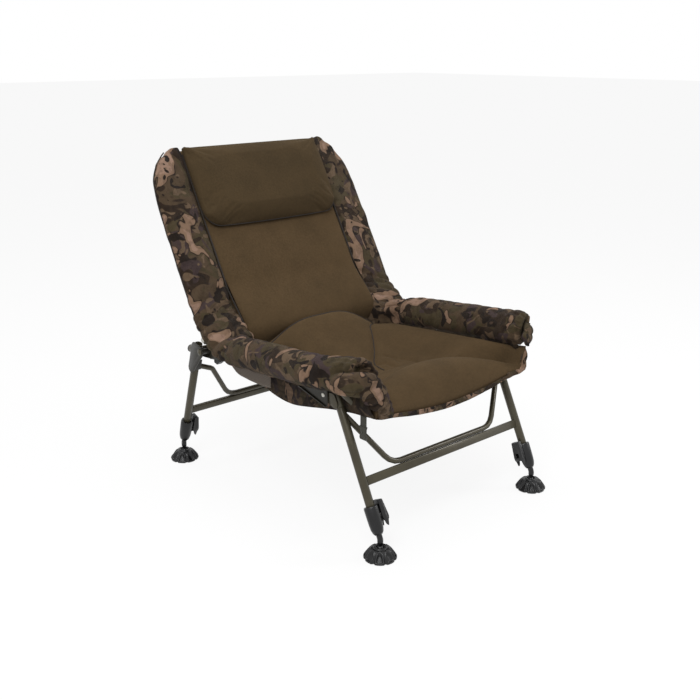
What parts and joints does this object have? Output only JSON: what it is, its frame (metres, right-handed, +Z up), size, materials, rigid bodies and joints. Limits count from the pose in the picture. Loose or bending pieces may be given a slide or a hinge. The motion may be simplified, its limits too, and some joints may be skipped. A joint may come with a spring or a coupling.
{
  "type": "folding fishing chair",
  "caption": "Low folding fishing chair: padded reclined back with headrest pillow, padded sling seat, foam arm rolls and two folding leg frames with adjustable mud feet.",
  "frame": {"origin": "on the ground, under the middle of the bounding box, midway between the sides", "axes": "+X to the sitter's left, +Y to the back of the chair, +Z up"},
  "size_m": [0.764, 0.9768, 0.9026],
  "materials": {
    "olive_steel": "dark grey-olive powder coat, satin",
    "zinc": "bright zinc plate",
    "black_plastic": "moulded black nylon, fine grain",
    "fleece": "brushed brown-olive fleece",
    "woodland_cloth": "woven polyester, woodland camouflage",
    "sling_band": "grey-brown woven band",
    "webbing": "dark olive webbing and buckle"
  },
  "bodies": {
    "seat_frame": {"rail_right": "olive_steel", "rail_rear_cap_right": "black_plastic", "rail_left": "olive_steel", "rail_rear_cap_left": "black_plastic", "rear_cross_tube": "olive_steel", "front_cross_tube": "olive_steel", "rear_hinge_plate_right": "olive_steel", "rear_hinge_plate_left": "olive_steel", "rail_stop_pad_right": "black_plastic", "rail_stop_pad_left": "black_plastic", "front_bracket_right": "olive_steel", "front_pivot_bolt_right": "zinc", "front_bracket_left": "olive_steel", "front_pivot_bolt_left": "zinc", "seat_pad": "fleece", "seat_front_border": "woodland_cloth", "seat_side_panel_right": "woodland_cloth", "seat_side_panel_left": "woodland_cloth", "arm_roll_right": "woodland_cloth", "arm_roll_left": "woodland_cloth", "sling_band_right": "sling_band", "sling_band_left": "sling_band"},
    "front_leg_frame": {"front_leg_left": "olive_steel", "front_leg_right": "olive_steel", "front_crossbar": "olive_steel", "front_brace_loop": "olive_steel", "front_leg_collar_left": "olive_steel", "front_leg_collar_right": "olive_steel", "front_left_block": "black_plastic", "front_right_block": "black_plastic"},
    "rear_leg_frame": {"rear_leg_left": "olive_steel", "rear_leg_right": "olive_steel", "rear_crossbar": "olive_steel", "rear_brace_loop": "olive_steel", "rear_leg_bracket_left": "olive_steel", "rear_leg_bracket_right": "olive_steel", "rear_hinge_bolt_left": "olive_steel", "rear_hinge_bolt_right": "olive_steel", "rear_left_block": "black_plastic", "rear_right_block": "black_plastic"},
    "back_frame": {"back_tube": "olive_steel", "back_hinge_bolt_left": "zinc", "back_hinge_bolt_right": "zinc", "back_cushion": "fleece", "back_border_left": "woodland_cloth", "back_border_right": "woodland_cloth", "headrest_pillow": "fleece"},
    "front_left_stalk": {"front_left_stalk": "black_plastic"},
    "front_left_lever": {"front_left_lever": "black_plastic"},
    "front_left_foot": {"front_left_foot": "black_plastic"},
    "front_right_stalk": {"front_right_stalk": "black_plastic"},
    "front_right_lever": {"front_right_lever": "black_plastic"},
    "front_right_foot": {"front_right_foot": "black_plastic"},
    "rear_left_stalk": {"rear_left_stalk": "black_plastic"},
    "rear_left_lever": {"rear_left_lever": "black_plastic"},
    "rear_left_foot": {"rear_left_foot": "black_plastic"},
    "rear_right_stalk": {"rear_right_stalk": "black_plastic"},
    "rear_right_lever": {"rear_right_lever": "black_plastic"},
    "rear_right_foot": {"rear_right_foot": "black_plastic"},
    "strap": {"strap_buckle": "webbing"}
  },
  "joints": [
    {"name": "front_leg_fold", "type": "hinge", "parent": "seat_frame", "child": "front_leg_frame", "pos_m": [0, -0.2594, 0.37032], "axis": [1, 0, 0], "range_deg": [0, 82]},
    {"name": "rear_leg_fold", "type": "hinge", "parent": "seat_frame", "child": "rear_leg_frame", "pos_m": [0, 0.21746, 0.37096], "axis": [-1, 0, 0], "range_deg": [0, 90]},
    {"name": "back_fold", "type": "hinge", "parent": "seat_frame", "child": "back_frame", "pos_m": [0, 0.19548, 0.412], "axis": [1, 0, 0], "range_deg": [0, 86]},
    {"name": "front_left_leg_slide", "type": "slide", "parent": "front_leg_frame", "child": "front_left_stalk", "axis": [0, -0.4415, -0.8973], "range_m": [0, 0.1]},
    {"name": "front_left_lever_swing", "type": "hinge", "parent": "front_leg_frame", "child": "front_left_lever", "pos_m": [0.2575, -0.42823, 0.09062], "axis": [0, -0.8973, 0.4415], "range_deg": [0, 90]},
    {"name": "front_left_foot_tilt", "type": "hinge", "parent": "front_left_stalk", "child": "front_left_foot", "pos_m": [0.286, -0.44857, 0.024], "axis": [1, 0, 0], "range_deg": [-15, 15]},
    {"name": "front_right_leg_slide", "type": "slide", "parent": "front_leg_frame", "child": "front_right_stalk", "axis": [0, -0.4415, -0.8973], "range_m": [0, 0.1]},
    {"name": "front_right_lever_swing", "type": "hinge", "parent": "front_leg_frame", "child": "front_right_lever", "pos_m": [-0.2575, -0.42823, 0.09062], "axis": [0, 0.8973, -0.4415], "range_deg": [0, 90]},
    {"name": "front_right_foot_tilt", "type": "hinge", "parent": "front_right_stalk", "child": "front_right_foot", "pos_m": [-0.286, -0.44857, 0.024], "axis": [1, 0, 0], "range_deg": [-15, 15]},
    {"name": "rear_left_leg_slide", "type": "slide", "parent": "rear_leg_frame", "child": "rear_left_stalk", "axis": [0, 0.319, -0.9478], "range_m": [0, 0.1]},
    {"name": "rear_left_lever_swing", "type": "hinge", "parent": "rear_leg_frame", "child": "rear_left_lever", "pos_m": [0.3125, 0.34206, 0.09573], "axis": [0, -0.9478, -0.319], "range_deg": [0, 90]},
    {"name": "rear_left_foot_tilt", "type": "hinge", "parent": "rear_left_stalk", "child": "rear_left_foot", "pos_m": [0.341, 0.35675, 0.024], "axis": [1, 0, 0], "range_deg": [-15, 15]},
    {"name": "rear_right_leg_slide", "type": "slide", "parent": "rear_leg_frame", "child": "rear_right_stalk", "axis": [0, 0.319, -0.9478], "range_m": [0, 0.1]},
    {"name": "rear_right_lever_swing", "type": "hinge", "parent": "rear_leg_frame", "child": "rear_right_lever", "pos_m": [-0.3125, 0.34206, 0.09573], "axis": [0, 0.9478, 0.319], "range_deg": [0, 90]},
    {"name": "rear_right_foot_tilt", "type": "hinge", "parent": "rear_right_stalk", "child": "rear_right_foot", "pos_m": [-0.341, 0.35675, 0.024], "axis": [1, 0, 0], "range_deg": [-15, 15]},
    {"name": "strap_swing", "type": "hinge", "parent": "seat_frame", "child": "strap", "pos_m": [-0.2713, -0.36952, 0.34222], "axis": [0, 1, 0], "range_deg": [-20, 40]}
  ]
}
